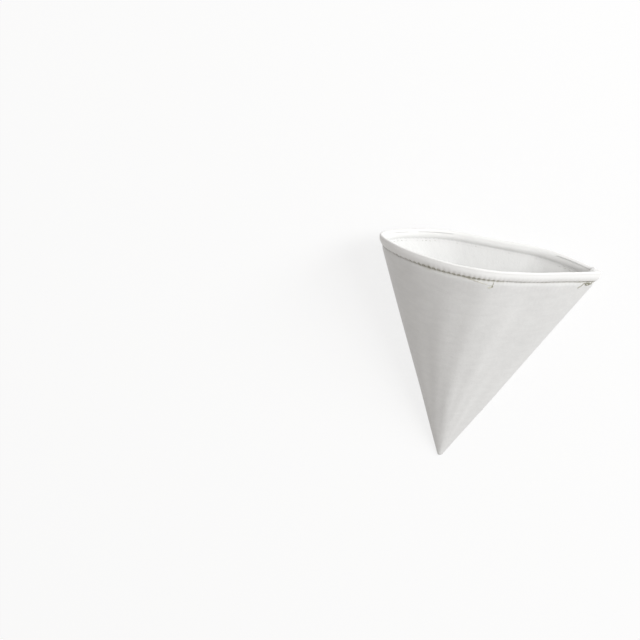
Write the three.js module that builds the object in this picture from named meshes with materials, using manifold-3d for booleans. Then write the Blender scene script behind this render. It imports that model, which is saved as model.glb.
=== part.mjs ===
// A sewn felt filter cone, lying on its back panel: mouth towards +Y, tip towards -Y.
// It is one sheet, folded along its left edge, seamed along its right edge, and hemmed
// at the mouth by turning the rim outwards. Millimetres, +Z up.
import * as THREE from 'three';
import { mergeVertices } from 'three/addons/utils/BufferGeometryUtils.js';
import Module from 'manifold-3d';

const wasm = await Module();
wasm.setup();

// The cone, measured across its axis at the mouth and along its axis from the sharp tip
const coneHeight = 194;
const mouthWidth = 194;
const frontDepth = 44.8;
const backDepth = 38;
const foldOffset = 4;
const seamOffset = -5;

// Where the front panel is deepest, and the stretch of back panel that lies flat
const crestPlace = -10;
const flatStart = -20;
const flatEnd = 38;

// How far each bend of the mouth's outline keeps its starting direction. The seam's edge is
// rounded, so the panels would meet a little outside the mouth's width.
const facetReach = new THREE.Vector2(-52.5, 29);
const crestReach = 20;
const frontFoldReach = 50;
const foldRoundFront = 21;
const foldRoundBack = 14;
const backFoldReach = 32;
const backSeamReach = 24;
const seamRise = new THREE.Vector2(-10, -12);
const seamEdgeRadius = 4;
const seamEdgeRounding = 2.2;

// The felt, its blunt tip and the turned hem. The stitching draws the wall inwards beside
// the hem's raw edge, so the turned flap lies flush with the wall below it.
const feltThickness = 1.8;
const tipRadius = 2.6;
const hemDepth = 9;
const hemGap = 0.3;
const hemPinch = 0.15;
const pinchLength = 3;
const easeBelow = 4.5;
const easeAbove = 4;
const rawEdgeRound = 0.25;
const innerTipRise = 1.1;

// The seam allowance: both cut edges stand inwards as two leaves along the seam
const allowanceWidth = 6;
const allowanceGap = 0.3;
const allowanceStart = 34;
const allowanceTopDrop = 3;
const allowanceRoot = 2.6;
const allowanceTaper = 12;
const allowanceCorner = 2;

const stepsPerBend = 14;
const stepsRoundSeam = 4;
const stepsRoundHem = 8;
const stepsRoundTip = 3;
const stepsRoundCorner = 4;
const stepsOfEase = 6;
const innerTipSteps = [6, 3.5, 2, 1.3];
const weldDistance = 1e-4;

const felt = new THREE.MeshStandardMaterial({ color: 0xeeeeeb, roughness: 0.95, metalness: 0 });

function mouthOutline() {
  const half = mouthWidth / 2;
  const seam = new THREE.Vector2(half + seamEdgeRounding, seamOffset);
  const seamFront = facetReach.clone().setLength(seamEdgeRadius).add(seam);
  const seamBack = seamRise.clone().setLength(seamEdgeRadius).add(seam);
  const facet = facetReach.clone().add(seam);
  const rise = seamRise.clone().add(seam);
  const path = new THREE.Path();
  path.moveTo(seamFront.x, seamFront.y);
  path.bezierCurveTo(facet.x, facet.y, crestPlace + crestReach, frontDepth, crestPlace, frontDepth);
  path.bezierCurveTo(crestPlace - frontFoldReach, frontDepth,
    -half, foldOffset + foldRoundFront, -half, foldOffset);
  path.bezierCurveTo(-half, foldOffset - foldRoundBack,
    flatStart - backFoldReach, -backDepth, flatStart, -backDepth);
  path.lineTo(flatEnd, -backDepth);
  path.bezierCurveTo(flatEnd + backSeamReach, -backDepth, rise.x, rise.y, seamBack.x, seamBack.y);
  path.quadraticCurveTo(seam.x, seam.y, seamFront.x, seamFront.y);
  return path.curves.flatMap((curve) => {
    if (curve.isLineCurve) return [curve.v2];
    const steps = curve.isQuadraticBezierCurve ? stepsRoundSeam : stepsPerBend;
    return curve.getPoints(steps).slice(1);
  });
}

// One straight side of the outline: its outward direction and its distance from the axis
function outlineSides(points) {
  return points.map((point, i) => {
    const along = points[(i + 1) % points.length].clone().sub(point).normalize();
    const outward = new THREE.Vector2(along.y, -along.x);
    return { outward, distance: outward.dot(point) };
  });
}

// Each side of the outline carries a plane through the tip. A ring at one height, a given
// offset outside those planes, reaches along each ray to the first plane that it meets.
function coneRing(points, sides, height, offset, shrink = 1) {
  const scale = height / coneHeight;
  return points.map((point) => {
    const ray = point.clone().normalize();
    let reach = Infinity;
    for (const side of sides) {
      const facing = side.outward.dot(ray);
      const lean = Math.hypot(1, side.distance / coneHeight);
      if (facing > 0) reach = Math.min(reach, (side.distance * scale + offset * lean) / facing);
    }
    return new THREE.Vector3(ray.x * reach * shrink, height, ray.y * reach * shrink);
  });
}

// How far the wall's outer face is drawn in at one height
function wallOffset(height) {
  const start = coneHeight - hemDepth - easeBelow;
  const share = THREE.MathUtils.smoothstep(height, start, start + easeBelow + easeAbove);
  return -(feltThickness + hemGap) * share;
}

// The section of the sheet, from the tip outside, round the hem, to the tip inside.
// Each level is a height on the axis and an offset from the cone's outer surface.
function sheetSection() {
  const rim = coneHeight;
  const rawEdge = rim - hemDepth;
  const hemRadius = feltThickness + hemGap / 2;
  const levels = [];
  const add = (height, offset) => levels.push({ height, offset });
  const easeHeights = [];
  for (let i = 0; i <= stepsOfEase; i++) {
    easeHeights.push(rawEdge - easeBelow + (easeBelow + easeAbove) * i / stepsOfEase);
  }
  for (const height of easeHeights) add(height, wallOffset(height));
  add(rim - hemRadius, wallOffset(rim));
  add(rim - hemRadius + hemGap / 2, wallOffset(rim) + hemGap / 2);
  add(rim - hemRadius, -feltThickness);
  const flapMiddle = THREE.MathUtils.lerp(rawEdge, rawEdge + easeAbove, 0.5);
  for (const height of [rawEdge + easeAbove, flapMiddle, rawEdge + rawEdgeRound]) {
    add(height, wallOffset(height) + hemGap);
  }
  add(rawEdge, wallOffset(rawEdge) + hemGap + rawEdgeRound);
  add(rawEdge, -hemPinch - rawEdgeRound);
  add(rawEdge + rawEdgeRound, -hemPinch);
  add(rawEdge + pinchLength, 0);
  for (let i = 0; i <= stepsRoundHem; i++) {
    const turn = Math.PI * i / stepsRoundHem;
    const across = hemRadius * (Math.cos(turn) - 1);
    add(rim - hemRadius + hemRadius * Math.sin(turn), across);
  }
  for (const height of easeHeights.reverse()) add(height, wallOffset(height) - feltThickness);
  return levels;
}

function sheetRings(points, sides) {
  const sideLean = Math.atan2(mouthWidth / 2, coneHeight);
  const tipCentre = tipRadius / Math.sin(sideLean);
  const rings = [];
  for (let i = 1; i <= stepsRoundTip; i++) {
    const turn = (Math.PI / 2 - sideLean) * i / stepsRoundTip;
    const height = tipCentre - tipRadius * Math.cos(turn);
    const coneReach = height * Math.tan(sideLean);
    rings.push(coneRing(points, sides, height, 0, tipRadius * Math.sin(turn) / coneReach));
  }
  for (const level of sheetSection()) {
    rings.push(coneRing(points, sides, level.height, level.offset));
  }
  const innerTip = feltThickness * Math.hypot(1, backDepth / coneHeight) * coneHeight / backDepth;
  for (const rise of innerTipSteps) {
    rings.push(coneRing(points, sides, innerTip * rise, -feltThickness));
  }
  const outerPole = new THREE.Vector3(0, tipCentre - tipRadius, 0);
  const innerPole = new THREE.Vector3(0, innerTip * innerTipRise, 0);
  return { rings, outerPole, innerPole };
}

// Skins a run of closed rings, with a pole at either end
function skinRings({ rings, outerPole, innerPole }) {
  const count = rings[0].length;
  const corners = [outerPole, ...rings.flat(), innerPole];
  const last = corners.length - 1;
  const faces = [];
  const at = (ring, i) => 1 + ring * count + (i % count);
  for (let i = 0; i < count; i++) {
    faces.push(0, at(0, i), at(0, i + 1));
    faces.push(last, at(rings.length - 1, i + 1), at(rings.length - 1, i));
  }
  for (let ring = 0; ring < rings.length - 1; ring++) {
    for (let i = 0; i < count; i++) {
      faces.push(at(ring, i), at(ring + 1, i), at(ring + 1, i + 1));
      faces.push(at(ring, i), at(ring + 1, i + 1), at(ring, i + 1));
    }
  }
  const geometry = new THREE.BufferGeometry();
  const position = new Float32Array(corners.flatMap((corner) => corner.toArray()));
  geometry.setAttribute('position', new THREE.BufferAttribute(position, 3));
  geometry.setIndex(faces);
  return geometry;
}

// Square to the seam, half way between the two panels that meet there
function facingInwards(along) {
  const middle = seamFacing().middle;
  const inwards = new THREE.Vector3(middle.x, 0, middle.y);
  return inwards.addScaledVector(along, -inwards.dot(along)).normalize();
}

function seamFacing() {
  const front = facetReach.clone().normalize();
  const back = seamRise.clone().normalize();
  const halfAngle = Math.acos(front.dot(back)) / 2;
  return { middle: front.add(back).normalize(), halfAngle };
}

// The outline of one leaf, along the seam and inwards from it. It moves in with the wall
// beside the hem.
function leafOutline(seamLength) {
  const alongAt = (height) => seamLength * height / coneHeight;
  const rawEdge = coneHeight - hemDepth;
  const drawnIn = (feltThickness + hemGap) / Math.sin(seamFacing().halfAngle);
  const inner = allowanceRoot + allowanceWidth;
  const end = alongAt(coneHeight - allowanceTopDrop);
  const outline = new THREE.Shape();
  outline.moveTo(allowanceStart, allowanceRoot);
  outline.lineTo(alongAt(rawEdge - easeBelow), allowanceRoot);
  outline.lineTo(alongAt(rawEdge + easeAbove), allowanceRoot + drawnIn);
  outline.lineTo(end, allowanceRoot + drawnIn);
  outline.lineTo(end, inner + drawnIn - allowanceCorner);
  outline.quadraticCurveTo(end, inner + drawnIn, end - allowanceCorner, inner + drawnIn);
  outline.lineTo(alongAt(rawEdge - easeBelow), inner);
  outline.lineTo(allowanceStart + allowanceTaper, inner);
  outline.quadraticCurveTo(allowanceStart + allowanceWidth, inner, allowanceStart, allowanceRoot);
  return outline;
}

// One leaf of the seam allowance: a strip of felt that stands inwards along the seam
function allowanceLeaf(side) {
  const seam = new THREE.Vector3(mouthWidth / 2 + seamEdgeRounding, coneHeight, seamOffset);
  const leaf = new THREE.ExtrudeGeometry(leafOutline(seam.length()), {
    depth: feltThickness, bevelEnabled: false, curveSegments: stepsRoundCorner,
  });
  leaf.translate(0, 0, side > 0 ? allowanceGap / 2 : -allowanceGap / 2 - feltThickness);
  const along = seam.normalize();
  const inwards = facingInwards(along);
  const across = along.clone().cross(inwards);
  leaf.applyMatrix4(new THREE.Matrix4().makeBasis(along, inwards, across));
  return leaf;
}

function toSolid(geometry) {
  geometry.deleteAttribute('normal');
  geometry.deleteAttribute('uv');
  const merged = mergeVertices(geometry, weldDistance);
  return new wasm.Manifold(new wasm.Mesh({
    numProp: 3,
    vertProperties: new Float32Array(merged.attributes.position.array),
    triVerts: new Uint32Array(merged.index.array),
  }));
}

function toGeometry(solid) {
  const mesh = solid.getMesh();
  const geometry = new THREE.BufferGeometry();
  geometry.setAttribute('position', new THREE.BufferAttribute(mesh.vertProperties, 3));
  geometry.setIndex(new THREE.BufferAttribute(mesh.triVerts, 1));
  geometry.computeVertexNormals();
  return geometry;
}

function feltCone() {
  const points = mouthOutline();
  const sheet = toSolid(skinRings(sheetRings(points, outlineSides(points))));
  const solid = sheet.add(toSolid(allowanceLeaf(1))).add(toSolid(allowanceLeaf(-1)));
  const mesh = new THREE.Mesh(toGeometry(solid), felt);
  mesh.name = 'felt_cone';
  return mesh;
}

// Turns the cone until its back panel is level, then stands it on the middle of its floor box
function laidDown(mesh) {
  mesh.rotation.x = Math.atan2(backDepth, coneHeight);
  const group = new THREE.Group();
  group.add(mesh);
  group.updateMatrixWorld(true);
  const box = new THREE.Box3().setFromObject(group, true);
  const middle = box.getCenter(new THREE.Vector3());
  group.position.set(-middle.x, -middle.y, -box.min.z);
  return group;
}

export default laidDown(feltCone());
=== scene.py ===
import math
import random

import bpy
import numpy as np
from bpy.props import FloatProperty, FloatVectorProperty, IntProperty, PointerProperty
from mathutils import Matrix, Vector
from mathutils.kdtree import KDTree


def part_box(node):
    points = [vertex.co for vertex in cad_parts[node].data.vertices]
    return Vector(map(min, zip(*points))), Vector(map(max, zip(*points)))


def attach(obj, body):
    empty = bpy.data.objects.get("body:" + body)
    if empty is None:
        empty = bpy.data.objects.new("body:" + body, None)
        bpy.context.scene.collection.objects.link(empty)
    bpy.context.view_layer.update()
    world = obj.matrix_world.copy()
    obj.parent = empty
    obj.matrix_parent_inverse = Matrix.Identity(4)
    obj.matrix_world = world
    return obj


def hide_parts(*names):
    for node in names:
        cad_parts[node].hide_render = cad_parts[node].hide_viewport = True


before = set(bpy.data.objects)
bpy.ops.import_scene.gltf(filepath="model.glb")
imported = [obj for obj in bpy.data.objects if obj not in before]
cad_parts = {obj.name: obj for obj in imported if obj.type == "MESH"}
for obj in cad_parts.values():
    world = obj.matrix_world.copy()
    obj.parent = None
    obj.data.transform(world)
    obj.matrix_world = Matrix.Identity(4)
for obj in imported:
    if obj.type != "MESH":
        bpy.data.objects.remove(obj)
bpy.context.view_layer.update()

bl_info = {
    "name": "Felt filter cone",
    "version": (1, 0, 0),
    "blender": (4, 5, 0),
    "location": "3D View > Sidebar > Felt cone",
    "description": "Models a sewn felt filter cone with its turned hem, stitches and stage",
    "category": "Object",
}

BODY = "root"
FELT_NODE = "felt_cone"


def metres(name, description, default, low=0.0, high=1.0):
    return FloatProperty(
        name=name, description=description, default=default, min=low, max=high,
        unit="LENGTH", subtype="DISTANCE", precision=5,
    )


def colour(name, description, default):
    return FloatVectorProperty(
        name=name, description=description, default=default, min=0.0, max=1.0,
        size=3, subtype="COLOR",
    )


class ConeSizes(bpy.types.PropertyGroup):
    """The cone's outer surface, measured across and along its axis"""

    height: metres("Height", "Along the axis, from the sharp tip to the rim", 0.194)
    width: metres("Mouth width", "From the folded edge to the seamed edge", 0.194)
    front: metres("Front depth", "From the chord of the mouth to the front panel", 0.0448)
    back: metres("Back depth", "From the chord of the mouth to the back panel", 0.038)
    fold_offset: metres("Fold offset", "How far in front of the chord the fold lies", 0.004)
    seam_offset: metres("Seam offset", "How far behind the chord the seam lies", 0.005)
    crest: metres("Crest place", "How far left of the axis the front is deepest", 0.018)
    flat_left: metres("Flat, left", "How far left of the axis the flat back begins", 0.020)
    flat_right: metres("Flat, right", "How far right of the axis the flat back ends", 0.038)
    seam_rounding: metres(
        "Seam rounding", "From the seam's rounded edge to where the panels would meet", 0.0022)
    tip_radius: metres("Tip radius", "Radius of the blunt tip", 0.0026)


class FeltSizes(bpy.types.PropertyGroup):
    """The felt, its turned hem and the seam allowance"""

    thickness: metres("Felt thickness", "Thickness of the felt", 0.0018)
    hem_depth: metres("Hem depth", "From the rim to the raw edge of the turned hem", 0.009)
    hem_gap: metres("Hem gap", "Between the hem's flap and the wall", 0.0003)
    hem_opening: metres("Hem opening", "Widest gap under the raw edge, between stitches", 0.0007)
    hem_pinch: metres("Hem pinch", "How deep each stitch pulls the raw edge in", 0.0006)
    hem_bulge: metres("Hem bulge", "How far the turned hem swells", 0.0005)
    hem_lean: metres("Hem lean", "How far the hem leans in towards the rim", 0.0006)
    ease_below: metres("Ease below", "Where the wall starts to draw in under the raw edge", 0.0045)
    ease_above: metres("Ease above", "Where it ends above the raw edge", 0.004)
    waviness: metres("Waviness", "How far the hand-sewn rim strays", 0.0004)
    undulation: metres("Undulation", "How far the soft panels stray", 0.0005)
    leaf_width: metres("Allowance", "Width of each seam allowance inside", 0.006)
    leaf_start: metres("Allowance start", "How far from the tip the allowances begin", 0.034)
    stations: IntProperty(name="Stations", description="Points round the mouth", default=430)


class StitchSizes(bpy.types.PropertyGroup):
    """The overlock stitching of the hem"""

    pitch: metres("Pitch", "Distance from one stitch to the next", 0.0045)
    thread: metres("Thread", "Thickness of the sewing thread", 0.00042)
    reach: metres("Reach", "How far above the raw edge the needle goes in", 0.0011)
    overlap: metres("Overlap", "How far the last stitches run past the first", 0.027)
    drift: metres("Drift", "How far below the first run the last one ends", 0.0052)


class Finish(bpy.types.PropertyGroup):
    """Colours of the felt, the thread and the stage"""

    felt: colour("Felt", "Colour of the felt", (0.83, 0.83, 0.822))
    # Painted light: this lighter colour is painted on the hem above the raw edge and on the inside
    hem: colour("Hem", "Colour of the clean felt turned over at the rim", (0.93, 0.928, 0.918))
    # Painted shade: the shadow in the groove under the raw edge, mixed with the olive stain of the
    # stitching
    groove_shade_and_stain_colour: colour(
        "Felt in the stitching", "Colour of the felt in the stitches", (0.50, 0.485, 0.41))
    thread: colour("Thread", "Colour of the hem's thread", (0.40, 0.39, 0.30))
    # Painted highlight: the loose thread ends are painted pale where they catch the light
    tail: colour("Thread tail", "Colour of the loose thread ends", (0.86, 0.85, 0.70))
    overlap: colour("Overlap", "Colour of the last stitches' thread", (0.70, 0.68, 0.57))
    floor: colour("Floor", "Colour of the floor", (0.93, 0.93, 0.93))


def sizes(scene):
    return scene.felt_cone_sizes


def bend(start, leave, arrive, end, steps):
    """A smooth bend between two points, without its first point"""
    share = np.linspace(0, 1, steps + 1)[1:, None]
    rest = 1 - share
    start, leave, arrive, end = (np.array(p, float) for p in (start, leave, arrive, end))
    return (
        rest**3 * start + 3 * rest**2 * share * leave
        + 3 * rest * share**2 * arrive + share**3 * end
    )


def smooth(value, low, high):
    share = np.clip((np.asarray(value, float) - low) / (high - low), 0, 1)
    return share * share * (3 - 2 * share)


# How the front and back panels run into the seam, and how far its sharp corner is cut
FACET_LEAVE = np.array((-0.0525, 0.029))
SEAM_ARRIVE = np.array((-0.010, -0.012))
SEAM_EDGE = 0.004


def seam_corner(cone):
    """Where the front and back panels would meet if the seam's edge were sharp"""
    return np.array((cone.width / 2 + cone.seam_rounding, -cone.seam_offset))


def mouth_outline(cone):
    """The closed outline of the mouth, from the seam over the front panel and the fold"""
    half = cone.width / 2
    seam = seam_corner(cone)
    before = seam + FACET_LEAVE / np.linalg.norm(FACET_LEAVE) * SEAM_EDGE
    after = seam + SEAM_ARRIVE / np.linalg.norm(SEAM_ARRIVE) * SEAM_EDGE
    crest = np.array((-cone.crest, cone.front))
    fold = np.array((-half, cone.fold_offset))
    left = np.array((-cone.flat_left, -cone.back))
    right = np.array((cone.flat_right, -cone.back))
    steps = 60
    share = np.linspace(0, 1, 9)[1:, None]
    corner = (1 - share) ** 2 * after + 2 * share * (1 - share) * seam + share**2 * before
    return np.vstack([
        bend(before, seam + FACET_LEAVE, crest + (0.027, 0), crest, steps),
        bend(crest, crest - (0.040, 0), fold + (0, 0.021), fold, steps),
        bend(fold, fold - (0, 0.014), left - (0.032, 0), left, steps),
        bend(left, left + (0.010, 0), right - (0.010, 0), right, steps // 2),
        bend(right, right + (0.024, 0), seam + SEAM_ARRIVE, after, steps),
        corner,
    ])


# Places round the mouth are metres from the seam over the front: the end of the last
# stitch, and the middle of the darkest felt beside the stitches, an olive stain where the
# painted groove shade spreads widest
KNOT_PLACE = 0.1025
WORN_PLACE = 0.162

# How far the raw edge is tucked in between the stitches
EDGE_TUCK = 0.00015

# How dark the stitching is round the mouth: place and tone. The tone is partly painted
# shade, darkest along the stretch that lies in shade, and partly the olive stain and soil
STITCH_TONE = (
    (0.000, 0.80), (0.010, 0.80), (0.018, 0.35), (0.045, 0.35), (0.050, 0.60), (0.056, 0.35),
    (0.090, 0.35), (0.094, 0.75), (0.118, 1.00), (0.160, 1.00), (0.172, 0.75), (0.182, 0.35),
    (0.200, 0.15), (0.225, 0.15), (0.260, 0.55), (0.400, 0.55), (0.436, 0.80),
)


def stitch_tone(place, length):
    spots, tones = np.array(STITCH_TONE).T
    ragged = 1 + 0.18 * np.sin(np.asarray(place) * 2900) * np.sin(np.asarray(place) * 1130)
    return np.interp(np.mod(place, length), spots, tones, period=length) * ragged


class ConeForm:
    """The cone's surface: every point by its place round the mouth, height and offset"""

    def __init__(self, props):
        self.cone = props.cone
        self.felt = props.felt
        self.outline = mouth_outline(self.cone)
        following = np.roll(self.outline, -1, axis=0)
        along = following - self.outline
        lengths = np.linalg.norm(along, axis=1)
        self.outward = np.column_stack([along[:, 1], -along[:, 0]]) / lengths[:, None]
        self.distance = (self.outward * self.outline).sum(axis=1)
        self.lean = np.hypot(1, self.distance / self.cone.height)
        self.places = np.concatenate([[0], np.cumsum(lengths)])
        self.length = self.places[-1]
        self.closed = np.vstack([self.outline, self.outline[:1]])
        self.tilt = math.atan2(self.cone.back, self.cone.height)
        self.shift = np.zeros(3)
        self.raw_edge = self.cone.height - self.felt.hem_depth
        self.drawn_in = self.felt.thickness + self.felt.hem_gap

    def base(self, place):
        place = np.mod(place, self.length)
        return np.column_stack([np.interp(place, self.places, self.closed[:, k]) for k in (0, 1)])

    def upright(self, place, height, offset, shrink=1.0):
        """Points of the cone standing on its tip, height along the second axis"""
        place, height, offset = np.broadcast_arrays(
            np.asarray(place, float), np.asarray(height, float), np.asarray(offset, float))
        rays = self.base(place.ravel())
        rays = rays / np.linalg.norm(rays, axis=1)[:, None]
        reach = np.empty(len(rays))
        share = height.ravel() / self.cone.height
        offset = offset.ravel()
        for start in range(0, len(rays), 4096):
            part = slice(start, start + 4096)
            facing = rays[part] @ self.outward.T
            plane = share[part, None] * self.distance + offset[part, None] * self.lean
            met = np.where(facing > 1e-6, plane / np.maximum(facing, 1e-6), np.inf)
            reach[part] = met.min(axis=1)
        reach *= shrink
        return np.column_stack([rays[:, 0] * reach, height.ravel(), rays[:, 1] * reach])

    def lay_down(self, points):
        """Turns upright points until the back panel is level, and sets them in place"""
        cos, sin = math.cos(self.tilt), math.sin(self.tilt)
        x, h, t = points.T
        return np.column_stack([x, h * cos - t * sin, h * sin + t * cos]) + self.shift

    def point(self, place, height, offset, shrink=1.0):
        return self.lay_down(self.upright(place, height, offset, shrink))

    def wall_offset(self, height):
        """How far the wall's outer face is drawn in beside the raw edge"""
        low = self.raw_edge - self.felt.ease_below
        return -self.drawn_in * smooth(height, low, self.raw_edge + self.felt.ease_above)

    def inner_offset(self, height):
        """The wall's inner face: the stitches squeeze the felt, so it steps in higher up"""
        low = self.raw_edge - self.felt.ease_below / 3
        step = self.drawn_in * smooth(height, low, self.raw_edge + self.felt.ease_above * 1.4)
        return -self.felt.thickness - step

    def pull(self, place, stitch):
        """One where a stitch pulls the raw edge in, nothing half way between two"""
        return 0.5 + 0.5 * np.cos(2 * math.pi * place / self.stitch_pitch(stitch))

    def stitch_pitch(self, stitch):
        """The pitch that fits a whole number of stitches round the mouth"""
        return self.length / round(self.length / stitch.pitch)

    def sway(self, place, turns, phase):
        return np.sin(2 * math.pi * turns * place / self.length + phase)

    def raised(self, place):
        """One on the stretches that don't lie on the floor"""
        depth = self.base(place)[:, 1]
        return smooth(depth, -self.cone.back + 0.0015, -self.cone.back + 0.010)

    def flat_angle(self, count=2000):
        """The angle at the tip that the sheet takes up when it is laid flat"""
        place = np.linspace(0, self.length, count)
        upright = self.upright(place, self.cone.height, 0.0)
        unit = upright / np.linalg.norm(upright, axis=1)[:, None]
        steps = np.arccos(np.clip((unit[1:] * unit[:-1]).sum(axis=1), -1, 1))
        return place, np.concatenate([[0], np.cumsum(steps)])


class SheetBuilder:
    """Collects rings of points and skins them as one closed sheet"""

    def __init__(self, form, stitch):
        self.form = form
        self.stitch = stitch
        self.place = self.stations()
        self.raised = form.raised(self.place)
        self.pull = form.pull(self.place, stitch)
        self.heights = []
        self.offsets = []
        self.shrinks = []

    def stations(self):
        """Even places round the mouth, closer together at the seam"""
        form = self.form
        even = np.linspace(0, form.length, form.felt.stations, endpoint=False)
        near = np.linspace(-0.006, 0.006, 25) + form.length
        apart = np.abs((even - near.mean() + form.length / 2) % form.length - form.length / 2)
        return np.sort(np.concatenate([even[apart > 0.0065], np.mod(near, form.length)]))

    def add(self, height, offset, shrink=1.0):
        count = len(self.place)
        self.heights.append(np.broadcast_to(height, count).astype(float))
        self.offsets.append(np.broadcast_to(offset, count).astype(float))
        self.shrinks.append(shrink)

    def stray(self, height):
        """The soft panels' slow waves, still at the floor, the tip and the hem"""
        form = self.form
        share = height / form.cone.height
        waves = (
            0.6 * form.sway(self.place, 3, 0.8 + 2.1 * share)
            + 0.4 * form.sway(self.place, 7, 2.0 - 4.0 * share)
            + 0.3 * form.sway(self.place, 13, 1.1 + 7.0 * share)
        )
        calm = smooth(share, 0.08, 0.4) * (1 - 0.5 * smooth(share, 0.85, 0.97))
        return form.felt.undulation * waves * calm * self.raised

    def pucker(self, height):
        """Small gathers that run down from each stitch"""
        below = np.maximum(self.form.raw_edge - height, 0)
        depth = 0.00009 * np.exp(-below / 0.006) * self.raised
        return -depth * self.pull

    def tip_outside(self):
        cone = self.form.cone
        side = math.atan2(cone.width / 2, cone.height)
        centre = cone.tip_radius / math.sin(side)
        steps = 8
        for step in range(1, steps + 1):
            turn = (math.pi / 2 - side) * step / steps
            height = centre - cone.tip_radius * math.cos(turn)
            self.add(height, 0, cone.tip_radius * math.sin(turn) / (height * math.tan(side)))
        return centre - cone.tip_radius, height

    def wall_outside(self, start):
        form = self.form
        stop = form.raw_edge - form.felt.ease_below
        for height in np.linspace(start, stop, 44)[1:]:
            self.add(height, self.stray(height) + self.pucker(height))

    def hem(self):
        """Up the wall, down inside the flap, round its raw edge and over the rim"""
        form, felt = self.form, self.form.felt
        raw, rim, thick = form.raw_edge, form.cone.height, felt.thickness
        slow, quick = form.sway(self.place, 5, 0.4), form.sway(self.place, 11, 1.7)
        wander = felt.waviness * (slow + 0.6 * quick)
        edge = raw + 0.5 * wander + 0.0003 * self.pull
        radius = thick + felt.hem_gap / 2
        crest = 0.5 * wander
        firm = np.clip(stitch_tone(self.place, form.length), 0, 1)
        least = felt.hem_gap / 2
        opening = least + (felt.hem_opening - least) * (1 - self.pull) * firm
        beside_seam = np.exp(-(((self.place + 0.010) % form.length - 0.010) / 0.014) ** 2)
        pull = (self.pull * firm + 1.4 * (1 - firm)) * (1 - 0.8 * beside_seam)
        pinch = EDGE_TUCK + felt.hem_pinch * pull
        low, high = raw - felt.ease_below, raw + felt.ease_above
        for height in np.linspace(low, high, 14)[1:]:
            self.add(height, form.wall_offset(height) + self.pucker(height) + self.stray(height))
        self.add(rim - radius, -form.drawn_in)
        self.add(rim - radius + felt.hem_gap / 2, -form.drawn_in + felt.hem_gap / 2)
        self.add(rim - radius, -thick)
        for share in (0.0, 0.35, 0.65, 0.85):
            height = high + (edge - high) * share
            gap = felt.hem_gap + (opening - felt.hem_gap) * share
            self.add(height, form.wall_offset(height) + gap)
        inner = form.wall_offset(edge) + opening
        outer = np.maximum(-pinch, inner + 0.00015)
        for share in (0.12, 0.5, 0.88):
            self.add(edge - 0.00012 * math.sin(math.pi * share), inner + (outer - inner) * share)
        for share in np.linspace(0.03, 1, 14):
            height = edge + (rim - radius - edge) * share
            plump = felt.hem_bulge * math.sin(math.pi * share) - felt.hem_lean * share**2
            self.add(height, outer * (1 - share) ** 2.2 + plump)
        steps = 16
        for step in range(steps + 1):
            turn = math.pi * step / steps
            height = rim - radius + radius * math.sin(turn) + crest * math.sin(turn)
            self.add(height, radius * (math.cos(turn) - 1) - felt.hem_lean * (1 + math.cos(turn)) / 2)
        needle = raw + self.stitch.reach
        for height in np.linspace(rim - radius, low, 20):
            groove = 0.0004 * math.exp(-(((height - needle) / 0.0009) ** 2))
            self.add(height, form.inner_offset(height) + groove + self.stray(height))

    def wall_inside(self):
        form = self.form
        thick, back = form.felt.thickness, form.cone.back
        tip = thick * math.hypot(1, back / form.cone.height) * form.cone.height / back
        start = form.raw_edge - form.felt.ease_below
        for height in np.geomspace(start, tip * 1.3, 40)[1:]:
            self.add(height, self.stray(height) - thick)
        return tip * 1.1

    def build(self):
        outer_tip, start = self.tip_outside()
        self.wall_outside(start)
        self.hem()
        inner_tip = self.wall_inside()
        rings = [
            self.form.upright(self.place, h, w, s)
            for h, w, s in zip(self.heights, self.offsets, self.shrinks)
        ]
        points = np.vstack([[(0, outer_tip, 0)], *rings, [(0, inner_tip, 0)]])
        return points, self.faces(len(rings)), self.flat_places(len(rings))

    def faces(self, ring_count):
        count = len(self.place)
        last = 1 + ring_count * count
        faces = []
        for i in range(count):
            j = (i + 1) % count
            faces.append((0, 1 + i, 1 + j))
            faces.append((last, last - count + j, last - count + i))
        for ring in range(ring_count - 1):
            low = 1 + ring * count
            for i in range(count):
                j = (i + 1) % count
                faces.append((low + i, low + count + i, low + count + j, low + j))
        return faces

    def flat_places(self, ring_count):
        """Where each point lies on the flat cut sheet, so that the fibres follow it"""
        form = self.form
        place, angle = form.flat_angle()
        turn = np.interp(self.place, place, angle) - angle[-1] / 4
        slant = np.linalg.norm(form.upright(self.place, form.cone.height, 0.0), axis=1)
        run = self.run_along()
        flat = [(0.0, 0.0)]
        for ring in range(ring_count):
            radius = slant * run[ring] / form.cone.height
            flat.extend(zip(radius * np.sin(turn), radius * np.cos(turn)))
        flat.append((0.0, 0.0))
        return np.array(flat)

    def run_along(self):
        """How far along the sheet each ring lies, past the rim for the outside"""
        heights = np.array([h.mean() for h in self.heights])
        offsets = np.array([w.mean() for w in self.offsets])
        steps = np.hypot(np.diff(heights), np.diff(offsets))
        return np.concatenate([[heights[0]], heights[0] + np.cumsum(steps)])


# How far inside the seam's sharp corner each seam allowance begins
LEAF_ROOT = 0.0024


def leaf_reach(form, run, seam_length, half_angle):
    """How deep one leaf begins and how wide it is, at one distance from the tip"""
    felt = form.felt
    drawn = form.drawn_in / math.sin(half_angle)
    height = run * form.cone.height / seam_length
    low, high = form.raw_edge - felt.ease_below, form.raw_edge + felt.ease_above
    width = felt.leaf_width * float(smooth(run, felt.leaf_start - 0.002, felt.leaf_start + 0.012))
    return LEAF_ROOT + drawn * float(smooth(height, low, high)), width


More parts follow.
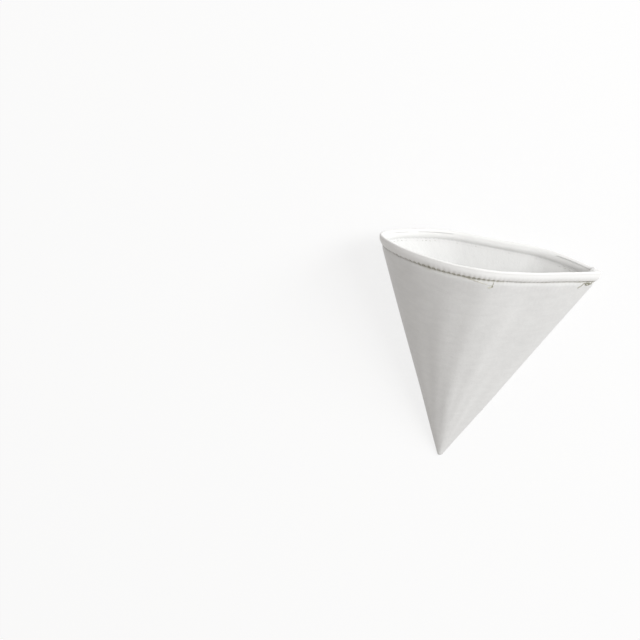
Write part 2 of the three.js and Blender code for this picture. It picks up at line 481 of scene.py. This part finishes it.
def leaf_points(form, side):
    """One seam allowance: a strip of felt standing inwards along the seam"""
    felt, cone = form.felt, form.cone
    length = math.hypot(cone.height, *seam_corner(cone))
    along, inwards, across, half_angle = seam_axes(form)
    rows, columns = 90, 12
    points, flat = [], []
    end = length * (1 - 0.003 / cone.height)
    for row in range(rows + 1):
        run = felt.leaf_start + (end - felt.leaf_start) * row / rows
        root, width = leaf_reach(form, run, length, half_angle)
        width += 0.0003 * math.sin(run / 0.0007)
        for column in range(columns):
            turn = 2 * math.pi * column / columns
            squash = 1 - 0.25 * max(0.0, math.cos(turn))
            depth = root + width / 2 + width / 2 * soft_sign(math.cos(turn))
            lateral = felt.thickness / 2 * soft_sign(math.sin(turn)) * squash
            lateral += side * (felt.thickness + felt.hem_gap) / 2
            points.append(along * run + inwards * depth + across * lateral)
            flat.append((0.3 + depth + 0.05 * side, run))
    return np.array(points), np.array(flat), rows, columns


def soft_sign(value):
    return math.copysign(abs(value) ** 0.35, value)


def seam_axes(form):
    """Along the seam, square to it half way between the panels, and across"""
    across_seam, depth = seam_corner(form.cone)
    seam = np.array((across_seam, form.cone.height, depth))
    along = seam / np.linalg.norm(seam)
    front = FACET_LEAVE / np.linalg.norm(FACET_LEAVE)
    back = SEAM_ARRIVE / np.linalg.norm(SEAM_ARRIVE)
    half_angle = math.acos(float(front @ back)) / 2
    middle = front + back
    inwards = np.array((middle[0], 0, middle[1]))
    inwards -= along * (inwards @ along)
    inwards /= np.linalg.norm(inwards)
    return along, inwards, np.cross(along, inwards), half_angle


def strip_faces(rows, columns, first):
    faces = [tuple(first + c for c in reversed(range(columns)))]
    for row in range(rows):
        low = first + row * columns
        for c in range(columns):
            d = (c + 1) % columns
            faces.append((low + c, low + d, low + columns + d, low + columns + c))
    top = first + rows * columns
    faces.append(tuple(top + c for c in range(columns)))
    return faces


def mesh_object(name, points, faces, flat=None):
    mesh = bpy.data.meshes.new(name)
    mesh.from_pydata([tuple(p) for p in points], [], faces)
    if flat is not None:
        layer = mesh.uv_layers.new(name="Cut")
        corner = np.empty(len(mesh.loops), dtype=np.int32)
        mesh.loops.foreach_get("vertex_index", corner)
        layer.data.foreach_set("uv", flat[corner].astype(np.float32).ravel())
    mesh.polygons.foreach_set("use_smooth", [True] * len(mesh.polygons))
    mesh.update()
    piece = bpy.data.objects.new(name, mesh)
    bpy.context.scene.collection.objects.link(piece)
    return piece


def threads_object(name, runs, thickness, sides=1):
    """One mesh of round threads, each along its own run of points"""
    bpy.ops.object.select_all(action="DESELECT")
    curve = bpy.data.curves.new(name, "CURVE")
    curve.dimensions = "3D"
    curve.bevel_depth = thickness / 2
    curve.bevel_resolution = sides
    curve.use_fill_caps = True
    for run in runs:
        spline = curve.splines.new("POLY")
        spline.points.add(len(run) - 1)
        spline.points.foreach_set("co", np.column_stack([run, np.ones(len(run))]).ravel())
    piece = bpy.data.objects.new(name, curve)
    bpy.context.scene.collection.objects.link(piece)
    bpy.context.view_layer.objects.active = piece
    piece.select_set(True)
    bpy.ops.object.convert(target="MESH")
    piece = bpy.context.view_layer.objects.active
    bpy.ops.object.shade_smooth()
    piece.select_set(False)
    return piece


def rounded(run, rounds=2):
    """The same run of points with its corners cut smooth"""
    run = np.asarray(run, float)
    for _ in range(rounds):
        early = run[:-1] * 0.75 + run[1:] * 0.25
        late = run[:-1] * 0.25 + run[1:] * 0.75
        inner = np.stack([early, late], axis=1).reshape(-1, 3)
        run = np.vstack([run[:1], inner, run[-1:]])
    return run


class Maths:
    """A socket that adds its own Math nodes when it is used in an expression"""

    def __init__(self, nodes, socket):
        self.nodes = nodes
        self.socket = socket

    def combine(self, operation, first, second):
        return self.nodes.maths("ShaderNodeMath", {"operation": operation}, {0: first, 1: second})

    def __add__(self, other):
        return self.combine("ADD", self, other)

    def __radd__(self, other):
        return self.combine("ADD", other, self)

    def __sub__(self, other):
        return self.combine("SUBTRACT", self, other)

    def __rsub__(self, other):
        return self.combine("SUBTRACT", other, self)

    def __mul__(self, other):
        return self.combine("MULTIPLY", self, other)

    def __rmul__(self, other):
        return self.combine("MULTIPLY", other, self)


class Nodes:
    """Builds one material's nodes"""

    def __init__(self, name):
        self.material = bpy.data.materials.new(name)
        self.material.use_nodes = True
        self.tree = self.material.node_tree
        self.tree.nodes.clear()

    def node(self, kind, settings=None, inputs=None):
        made = self.tree.nodes.new(kind)
        for key, value in (settings or {}).items():
            setattr(made, key, value)
        for key, value in (inputs or {}).items():
            self.feed(made.inputs[key], value)
        return made

    def feed(self, socket, value):
        if isinstance(value, Maths):
            value = value.socket
        if isinstance(value, bpy.types.NodeSocket):
            self.tree.links.new(value, socket)
        elif hasattr(value, "__len__") and len(value) == 3 and socket.type == "RGBA":
            socket.default_value = (*value, 1)
        else:
            socket.default_value = value

    def maths(self, kind, settings=None, inputs=None, output=0):
        return Maths(self, self.node(kind, settings, inputs).outputs[output])

    def blend(self, factor, first, second):
        """One colour turning into another"""
        settings = {"data_type": "RGBA"}
        return self.node("ShaderNodeMix", settings, {0: factor, 6: first, 7: second}).outputs[2]

    def finish(self, shader):
        self.node("ShaderNodeOutputMaterial", None, {"Surface": shader})
        return self.material


def felt_material(finish):
    """White needled felt: matted fibres that lie mostly across the panel"""
    n = Nodes("needled_felt")
    cut = n.node("ShaderNodeUVMap", {"uv_map": "Cut"}).outputs[0]
    body = n.node("ShaderNodeTexCoord").outputs["Object"]

    def fibres(scale, turn, detail=4.0):
        place = n.node("ShaderNodeMapping", None, {
            "Vector": cut, "Rotation": (0, 0, turn), "Scale": scale})
        return n.maths("ShaderNodeTexNoise", None, {
            "Vector": place.outputs[0], "Scale": 1.0, "Detail": detail, "Roughness": 0.6})

    long_fibres = fibres((330, 1300, 1), 0.12)
    cross_fibres = fibres((420, 2100, 1), 0.9)
    other_fibres = fibres((420, 2100, 1), -0.8)
    streaks = fibres((60, 250, 1), 0.06, 4.0)
    clumps = n.maths("ShaderNodeTexNoise", None, {
        "Vector": body, "Scale": 210.0, "Detail": 3.0, "Roughness": 0.55})
    cloud = n.maths("ShaderNodeTexNoise", None, {
        "Vector": body, "Scale": 28.0, "Detail": 2.0, "Roughness": 0.5})
    # Painted shade of the groove under the raw edge, mixed with the olive stain along the stitching
    groove_shade_and_stain = n.maths("ShaderNodeAttribute", {"attribute_name": "groove_shade_and_stain"}, output=2)
    matted = long_fibres * 0.5 + cross_fibres * 0.3 + other_fibres * 0.3
    relief = matted * 0.6 + clumps * 0.7 + streaks * 0.5
    tone = matted * 0.35 + streaks * 0.55 + cloud * 0.45 + clumps * 0.40
    # Painted light: how far the felt takes the lighter hem colour, on the hem and the inside
    turned = n.maths("ShaderNodeAttribute", {"attribute_name": "turned"}, output=2)
    mottled = n.node("ShaderNodeMapRange", None, {
        "Value": tone, "From Min": 0.62, "From Max": 1.12, "To Min": 0.0, "To Max": 1.0})
    deep = tuple(0.94 * c for c in finish.felt)
    light = tuple(min(1.0, 1.035 * c) for c in finish.felt)
    # Painted light: the hem and the inside are painted in the lighter hem colour
    felt = n.blend(turned, n.blend(mottled.outputs[0], deep, light), finish.hem)
    # The felt along the stitching is painted darker with the groove's shade and the olive stain
    base = n.blend(groove_shade_and_stain * (0.55 + 0.6 * clumps), felt, finish.groove_shade_and_stain_colour)
    bump = n.node("ShaderNodeBump", None, {
        "Strength": 0.55, "Distance": 0.0004, "Height": relief})
    shader = n.node("ShaderNodeBsdfPrincipled", None, {
        "Base Color": base, "Roughness": 0.96, "Specular IOR Level": 0.15,
        "Sheen Weight": 0.12, "Sheen Roughness": 0.6, "Normal": bump.outputs[0]})
    return n.finish(shader.outputs[0])


def thread_material(name, tint, unshaded=None):
    """Spun thread: fine twisted plies with paler high spots"""
    n = Nodes(name)
    body = n.node("ShaderNodeTexCoord").outputs["Object"]
    plies = n.maths("ShaderNodeTexWave", {"bands_direction": "DIAGONAL"}, {
        "Vector": body, "Scale": 700.0, "Distortion": 2.0, "Detail": 1.0})
    fluff = n.maths("ShaderNodeTexNoise", None, {"Vector": body, "Scale": 2600.0, "Detail": 3.0})
    stain = n.maths("ShaderNodeTexNoise", None, {"Vector": body, "Scale": 120.0, "Detail": 2.0})
    dark = tuple(0.72 * c for c in tint)
    pale = tuple(min(1.0, 1.25 * c) for c in tint)
    base = n.blend(stain * 0.6 + plies * 0.4, dark, pale)
    # Painted shade: the thread is painted dark olive where the stitching lies in shade, partly its
    # own soil, and pale like the felt elsewhere
    if unshaded:
        thread_shade_and_soil = n.maths("ShaderNodeAttribute", {"attribute_name": "thread_shade_and_soil"}, output=2)
        base = n.blend(thread_shade_and_soil, tuple(0.9 * c for c in unshaded), base)
    bump = n.node("ShaderNodeBump", None, {
        "Strength": 0.6, "Distance": 0.0001, "Height": plies + fluff * 0.5})
    shader = n.node("ShaderNodeBsdfPrincipled", None, {
        "Base Color": base, "Roughness": 0.8, "Specular IOR Level": 0.25,
        "Normal": bump.outputs[0]})
    return n.finish(shader.outputs[0])


def floor_material(finish):
    """A pale floor that shows white to the camera and keeps the shadow on it"""
    n = Nodes("pale_floor")
    seen = n.node("ShaderNodeLightPath")
    lit = n.node("ShaderNodeBsdfDiffuse", None, {"Color": finish.floor})
    white = n.node("ShaderNodeEmission", None, {"Color": (1, 1, 1), "Strength": 1.03})
    camera = Maths(n, seen.outputs["Is Camera Ray"])
    glossy = Maths(n, seen.outputs["Is Glossy Ray"])
    through = Maths(n, seen.outputs["Is Transmission Ray"])
    shown = n.node("ShaderNodeMixShader", None, {
        0: (camera + glossy + through) * 0.75, 1: lit.outputs[0], 2: white.outputs[0]})
    return n.finish(shown.outputs[0])


def settle(piece, material):
    piece.data.materials.clear()
    piece.data.materials.append(material)
    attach(piece, BODY)
    return piece


def cone_form(scene):
    """The cone's form, set in the middle of its CAD box"""
    form = ConeForm(sizes(scene))
    place = np.linspace(0, form.length, 900, endpoint=False)
    rim = form.cone.height
    radius = form.drawn_in - form.felt.hem_gap / 2
    parts = [
        form.point(place, rim - radius + radius * math.sin(turn), radius * (math.cos(turn) - 1))
        for turn in np.linspace(0, math.pi / 2, 9)
    ]
    parts.append(form.lay_down(np.array([(0.0, tip_height(form.cone), 0.0)])))
    extent = np.vstack(parts)
    low, high = (np.array(c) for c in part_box(FELT_NODE))
    middle = (low + high - extent.min(axis=0) - extent.max(axis=0)) / 2
    form.shift = np.array((middle[0], middle[1], 0.0))
    return form


def tip_height(cone):
    side = math.atan2(cone.width / 2, cone.height)
    return cone.tip_radius / math.sin(side) - cone.tip_radius


class CONE_OT_felt_sheet(bpy.types.Operator):
    """Lofts the felt sheet: tip, panels, turned hem and the seam allowances inside"""

    bl_idname = "cone.felt_sheet"
    bl_label = "Felt sheet"

    def execute(self, context):
        props = sizes(context.scene)
        form = cone_form(context.scene)
        builder = SheetBuilder(form, props.stitch)
        upright, faces, flat = builder.build()
        points = [upright]
        flats = [flat]
        count = len(upright)
        for side in (1, -1):
            leaf, leaf_flat, rows, columns = leaf_points(form, side)
            faces += strip_faces(rows, columns, count)
            points.append(leaf)
            flats.append(leaf_flat)
            count += len(leaf)
        piece = mesh_object("felt_sheet", form.lay_down(np.vstack(points)), faces, np.vstack(flats))
        self.mark(piece, builder, count)
        settle(piece, felt_material(props.finish))
        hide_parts(FELT_NODE)
        declare_sheet(form)
        return {"FINISHED"}

    def mark(self, piece, builder, count):
        """How far each point lies in the darker felt beside the stitches, painted groove shade
        with the olive stain, and in the lighter hem colour, painted light on the hem and inside
        """
        form = builder.form
        value = np.zeros(count, dtype=np.float32)
        turned = np.zeros(count, dtype=np.float32)
        stations = len(builder.place)
        tone = (0.55 + 0.45 * builder.pull) * stitch_tone(builder.place, form.length)
        outer_rings = outside_rings(builder)
        for ring in outer_rings:
            height = builder.heights[ring]
            # Painted shade of the groove under the raw edge, widest at the olive stain
            patch = np.exp(-(((builder.place - WORN_PLACE) / 0.004) ** 2))
            spread = 0.0007 + 0.0006 * tone + 0.0011 * patch
            close = np.exp(-(((height - form.raw_edge + 0.0002) / spread) ** 2))
            value[1 + ring * stations: 1 + (ring + 1) * stations] = close * tone
            # Painted light: the hem above the raw edge takes the lighter hem colour
            above = smooth(height, form.raw_edge, form.raw_edge + 0.0015)
            turned[1 + ring * stations: 1 + (ring + 1) * stations] = above
        # Painted light: the inside takes the lighter hem colour, part way low down and fully near the
        # rim
        for ring in range(outer_rings.stop, len(builder.heights)):
            over = smooth(builder.heights[ring], form.raw_edge + 0.001, form.raw_edge + 0.006)
            turned[1 + ring * stations: 1 + (ring + 1) * stations] = 0.45 + 0.55 * over
        for name, values in (("groove_shade_and_stain", value), ("turned", turned)):
            layer = piece.data.attributes.new(name, "FLOAT", "POINT")
            layer.data.foreach_set("value", values)


def outside_rings(builder):
    """The rings before the section turns over the rim"""
    top = int(np.argmax([h.mean() for h in builder.heights]))
    return range(top)


def declare_sheet(form):
    """The flat cut, as a sector: works out its angle at the tip and its radius, the seam's,
    the longest side, and makes nothing from them"""
    _, angle = form.flat_angle()
    slant = np.linalg.norm(form.upright([0.0], form.cone.height, 0.0)[0])


class CONE_OT_hem_thread(bpy.types.Operator):
    """Lays the overlock stitches over the hem's raw edge, right round the mouth"""

    bl_idname = "cone.hem_thread"
    bl_label = "Hem stitches"

    def execute(self, context):
        props = sizes(context.scene)
        form = cone_form(context.scene)
        stitch, finish = props.stitch, props.finish
        piece = threads_object("hem_thread", [self.edge_run(form, stitch)], stitch.thread)
        self.mark_thread_shade_and_soil(piece, form)
        settle(piece, thread_material("hem_thread", finish.thread, finish.felt))
        dark = threads_object("loose_thread", self.loose_runs(form, stitch), stitch.thread * 1.3)
        settle(dark, thread_material("loose_thread", finish.thread))
        last_run = self.overlap_run(form, stitch)
        last = threads_object("overlap_thread", [last_run], stitch.thread * 1.2)
        settle(last, thread_material("overlap_thread", finish.overlap))
        # Painted highlight: the thread ends are painted pale
        tails = threads_object("thread_tails_painted_highlight", self.tail_runs(form, stitch), stitch.thread * 1.2)
        settle(tails, thread_material("thread_tails_painted_highlight", finish.tail))
        inner = threads_object("needle_thread", self.inner_runs(form, stitch), stitch.thread)
        settle(inner, thread_material("needle_thread", finish.felt))
        return {"FINISHED"}

    def mark_thread_shade_and_soil(self, piece, form):
        """Writes how dark the thread is at each of its points: painted shade where the stitching
        lies in shade, with the thread's own olive soil
        """
        place = np.linspace(0, form.length, 1800, endpoint=False)
        tree = KDTree(len(place))
        for index, point in enumerate(form.point(place, form.raw_edge, 0.0)):
            tree.insert(point, index)
        tree.balance()
        near = [tree.find(vertex.co)[1] for vertex in piece.data.vertices]
        tone = stitch_tone(place[near], form.length)
        layer = piece.data.attributes.new("thread_shade_and_soil", "FLOAT", "POINT")
        layer.data.foreach_set("value", tone.astype(np.float32))

    def on_wall(self, form, spots, lift):
        """A run of thread on the wall: place, drop below the raw edge, extra lift"""
        place, drop, extra = (np.array(column) for column in zip(*spots))
        height = form.raw_edge - drop
        offset = np.where(drop > 0, form.wall_offset(height), 0.0) + lift + extra
        return rounded(form.point(place, height, offset))

    def loose_runs(self, form, stitch):
        """The last stitch's end with its knot, and the bunched thread beside the seam"""
        lift = stitch.thread * 0.4
        end = KNOT_PLACE
        drop = stitch.drift
        fall = [(end, 0.0012, -0.0002), (end - 0.0002, 0.0030, 0.0001), (end + 0.0001, drop, 0)]
        double = [(end - 0.0005, 0.0014, -0.0002), (end - 0.0004, 0.0032, 0.0001), (end, drop, 0)]
        knot = [
            (end + 0.00065 * math.cos(turn), drop + 0.0002 + 0.0006 * math.sin(turn),
             0.0003 + 0.0003 * math.sin(2 * turn))
            for turn in np.linspace(0, 6 * math.pi, 30)
        ]
        bunch = [
            (0.0105, 0.0062, 0), (0.0075, 0.0036, 0), (0.0055, 0.0010, 0), (0.0040, 0.0034, 0.0002),
            (0.0022, 0.0008, 0.0001), (0.0010, 0.0036, 0.0003), (-0.0006, 0.0012, 0.0001),
            (-0.0015, 0.0030, 0.0002), (-0.0030, 0.0008, 0),
        ]
        loops = [
            (0.0030 + 0.0022 * math.cos(turn), 0.0022 + 0.0011 * math.sin(turn), 0.0004)
            for turn in np.linspace(0.3, 7.0, 16)
        ]
        return [self.on_wall(form, spots, lift) for spots in (fall, double, knot, bunch, loops)]

    def overlap_run(self, form, stitch):
        """The last stitches, which drift down the wall past the first ones"""
        start, end = KNOT_PLACE + stitch.overlap, KNOT_PLACE + 0.0003
        count = 56
        spots = []
        for step in range(count + 1):
            share = step / count
            sunk = -0.0006 if step % 8 == 0 else 0.0001 * math.sin(step * 2.1)
            drop = 0.0004 + stitch.drift * 0.8 * share + 0.00015 * math.sin(step * 0.9)
            spots.append((start + (end - start) * share, drop, sunk))
        return self.on_wall(form, spots, stitch.thread * 0.3)

    def tail_runs(self, form, stitch):
        """The cut ends of the thread below the knot: past the knot, drop, extra lift"""
        tail = [(0.0005, 0.0052, 0.0003), (0.0015, 0.0062, 0.0006), (0.0027, 0.0066, 0.0005),
                (0.0039, 0.0063, 0.0002)]
        second = [(0.0003, 0.0056, 0.0002), (0.0011, 0.0067, 0.0005), (0.0023, 0.0072, 0.0002)]
        runs = []
        for ends in (tail, second):
            spots = [(KNOT_PLACE + past, drop, extra) for past, drop, extra in ends]
            runs.append(self.on_wall(form, spots, stitch.thread * 0.4))
        return runs

    def edge_run(self, form, stitch):
        """Thread that climbs over the raw edge and back once for each stitch"""
        pitch = form.stitch_pitch(stitch)
        count = round(form.length / pitch)
        rng = random.Random(4)
        half = stitch.thread / 2
        run = []
        for k in range(count):
            start = k * pitch
            stray = [rng.uniform(-1, 1) for _ in range(4)]
            up = stitch.reach * (1.05 + 0.40 * stray[0])
            for share, rise, sunk in self.steps():
                place = start + (share + 0.14 * stray[1] * math.sin(math.pi * share)) * pitch
                height = form.raw_edge + rise * up + 0.00018 * stray[2]
                if rise < 0:
                    offset = float(form.wall_offset(height)) + half * 0.7
                else:
                    pull = float(form.pull(np.array([place]), stitch)[0])
                    edge = -(EDGE_TUCK + form.felt.hem_pinch * pull)
                    offset = edge * max(0.0, 1 - rise * up / 0.0034) ** 1.6 + half * 0.6
                faint = 1 - min(1.0, float(stitch_tone(place, form.length)))
                run.append((place, height, offset - (sunk + faint) * stitch.thread))
        place, height, offset = np.array(run).T
        return rounded(form.point(place, height, offset), 1)

    def steps(self):
        """Share of the pitch, rise over the raw edge, and how deep the thread is sunk"""
        return (
            (0.00, 1.00, 1.9), (0.06, 0.90, 0.5), (0.13, 0.60, 0.0), (0.18, 0.25, 0.0),
            (0.22, 0.02, 0.0), (0.26, -0.50, 0.0), (0.31, -0.95, 1.9), (0.69, -0.95, 1.9),
            (0.74, -0.50, 0.0), (0.78, 0.02, 0.0), (0.82, 0.25, 0.0), (0.87, 0.60, 0.0),
            (0.94, 0.90, 0.5),
        )

    def inner_runs(self, form, stitch):
        """The same stitches seen inside, one short run for each"""
        pitch = form.stitch_pitch(stitch)
        count = round(form.length / pitch)
        half = stitch.thread / 2
        runs = []
        height = form.raw_edge + stitch.reach
        inside = float(form.inner_offset(height)) + 0.0004
        for k in range(count):
            share = np.array((0.06, 0.14, 0.3, 0.5, 0.7, 0.86, 0.94))
            sunk = np.array((-1.6, -0.6, 0.0, 0.1, 0.0, -0.6, -1.6))
            offset = inside - half * 0.4 - sunk * stitch.thread
            runs.append(form.point((k + share) * pitch, height, offset))
        return runs


def camera_matrix(scene):
    """Where the photograph was taken from: close to straight above, towards the mouth"""
    turn = scene.felt_cone_view.turn
    rotation = Matrix.Rotation(turn[2], 3, "Z") @ Matrix.Rotation(turn[1], 3, "Y")
    return (rotation @ Matrix.Rotation(turn[0], 3, "X")).to_4x4()


class ViewPlace(bpy.types.PropertyGroup):
    """The camera that matches the photograph"""

    turn: FloatVectorProperty(
        name="Turn", description="Turn of the camera about X, Y and Z",
        default=tuple(math.radians(a) for a in (-12.2704, -3.7475, 11.6963)),
        size=3, subtype="EULER")
    aim: FloatVectorProperty(
        name="Aim", description="What the middle of the picture looks at",
        default=(-0.1241, -0.0030, -0.0128), size=3, subtype="TRANSLATION", unit="LENGTH")
    distance: metres("Distance", "From the camera to that point", 2.4, 0.1, 20.0)
    lens: FloatProperty(name="Lens", description="Focal length in millimetres", default=158.19)


class CONE_OT_seam_thread(bpy.types.Operator):
    """Winds the overlock thread over both seam allowances inside"""

    bl_idname = "cone.seam_thread"
    bl_label = "Seam stitches"

    def execute(self, context):
        props = sizes(context.scene)
        form = cone_form(context.scene)
        runs = [form.lay_down(rounded(self.winding(form, props.stitch)))]
        piece = threads_object("seam_thread", runs, props.stitch.thread)
        settle(piece, thread_material("seam_thread", props.finish.overlap))
        return {"FINISHED"}

    def winding(self, form, stitch):
        """Out over the two edges and back, once for each stitch"""
        along, inwards, across, half_angle = seam_axes(form)
        length = math.hypot(form.cone.height, *seam_corner(form.cone))
        side = form.felt.thickness + form.felt.hem_gap / 2 + stitch.thread * 0.3
        run = form.felt.leaf_start + 0.012
        rng = random.Random(9)
        points = []
        while run < length - 0.008:
            root, width = leaf_reach(form, run, length, half_angle)
            low, edge = root + width * 0.45, root + width + stitch.thread * 0.3
            stray = rng.uniform(-0.0003, 0.0003)
            for step, depth, lateral in (
                (0.0, low, side - stitch.thread), (0.0003, low + 0.0004, side),
                (0.0010, edge - 0.0006, side), (0.0014, edge, side * 0.6),
                (0.0017, edge, -side * 0.6), (0.0021, edge - 0.0006, -side),
                (0.0028, low + 0.0004, -side),
                (0.0031, low, -side + stitch.thread),
            ):
                points.append(along * (run + step + stray) + inwards * depth + across * lateral)
            run += stitch.pitch * 0.8
        return points


class CONE_OT_stage(bpy.types.Operator):
    """Sets the pale floor, the soft lamps and the camera"""

    bl_idname = "cone.stage"
    bl_label = "Stage"

    def execute(self, context):
        self.floor(context)
        self.lamps(context)
        self.camera(context)
        return {"FINISHED"}

    def floor(self, context):
        bpy.ops.object.select_all(action="DESELECT")
        bpy.ops.mesh.primitive_plane_add(size=12.0, location=(0, 0, 0))
        floor = context.object
        floor.name = "floor"
        floor.data.materials.append(floor_material(sizes(context.scene).finish))
        floor.select_set(False)

    def lamp(self, context, name, place, size, power, tint):
        data = bpy.data.lights.new(name, "AREA")
        data.shape = "DISK"
        data.size = size
        data.energy = power
        data.color = tint
        lamp = bpy.data.objects.new(name, data)
        place = Vector(place)
        facing = place.to_track_quat("Z", "Y").to_matrix().to_4x4()
        lamp.matrix_world = Matrix.Translation(place) @ facing
        context.scene.collection.objects.link(lamp)

    def lamps(self, context):
        self.lamp(context, "low_right", (1.990, 1.670, 1.500), 1.4, 35.5, (0.975, 0.99, 1.0))
        self.lamp(context, "high_right", (1.477, 1.240, 2.298), 1.4, 28.5, (0.975, 0.99, 1.0))
        world = bpy.data.worlds.new("soft_room")
        world.use_nodes = True
        shade = world.node_tree.nodes["Background"]
        shade.inputs["Color"].default_value = (1.0, 0.968, 0.94, 1)
        shade.inputs["Strength"].default_value = 0.46
        context.scene.world = world

    def camera(self, context):
        view = context.scene.felt_cone_view
        data = bpy.data.cameras.new("camera")
        data.lens = view.lens
        data.clip_end = 100
        camera = bpy.data.objects.new("camera", data)
        turned = camera_matrix(context.scene)
        place = Vector(view.aim) + turned.to_3x3() @ Vector((0, 0, view.distance))
        camera.matrix_world = Matrix.Translation(place) @ turned
        context.scene.collection.objects.link(camera)
        context.scene.camera = camera
        context.scene.view_settings.view_transform = "Standard"


class AllSizes(bpy.types.PropertyGroup):
    """Every size and colour of the felt cone"""

    cone: PointerProperty(type=ConeSizes)
    felt: PointerProperty(type=FeltSizes)
    stitch: PointerProperty(type=StitchSizes)
    finish: PointerProperty(type=Finish)


class CONE_PT_panel(bpy.types.Panel):
    """Lists the felt cone's operators"""

    bl_idname = "CONE_PT_panel"
    bl_label = "Felt cone"
    bl_space_type = "VIEW_3D"
    bl_region_type = "UI"
    bl_category = "Felt cone"

    def draw(self, context):
        for operator in OPERATORS:
            self.layout.operator(operator.bl_idname)


OPERATORS = (CONE_OT_felt_sheet, CONE_OT_hem_thread, CONE_OT_seam_thread, CONE_OT_stage)
GROUPS = (ConeSizes, FeltSizes, StitchSizes, Finish, AllSizes, ViewPlace)
CLASSES = (*GROUPS, *OPERATORS, CONE_PT_panel)


def register():
    for item in CLASSES:
        bpy.utils.register_class(item)
    bpy.types.Scene.felt_cone_sizes = PointerProperty(type=AllSizes)
    bpy.types.Scene.felt_cone_view = PointerProperty(type=ViewPlace)


def unregister():
    del bpy.types.Scene.felt_cone_view
    del bpy.types.Scene.felt_cone_sizes
    for item in reversed(CLASSES):
        bpy.utils.unregister_class(item)


def main():
    register()
    bpy.ops.cone.stage()
    bpy.ops.cone.felt_sheet()
    bpy.ops.cone.hem_thread()
    bpy.ops.cone.seam_thread()


if __name__ == "__main__":
    main()
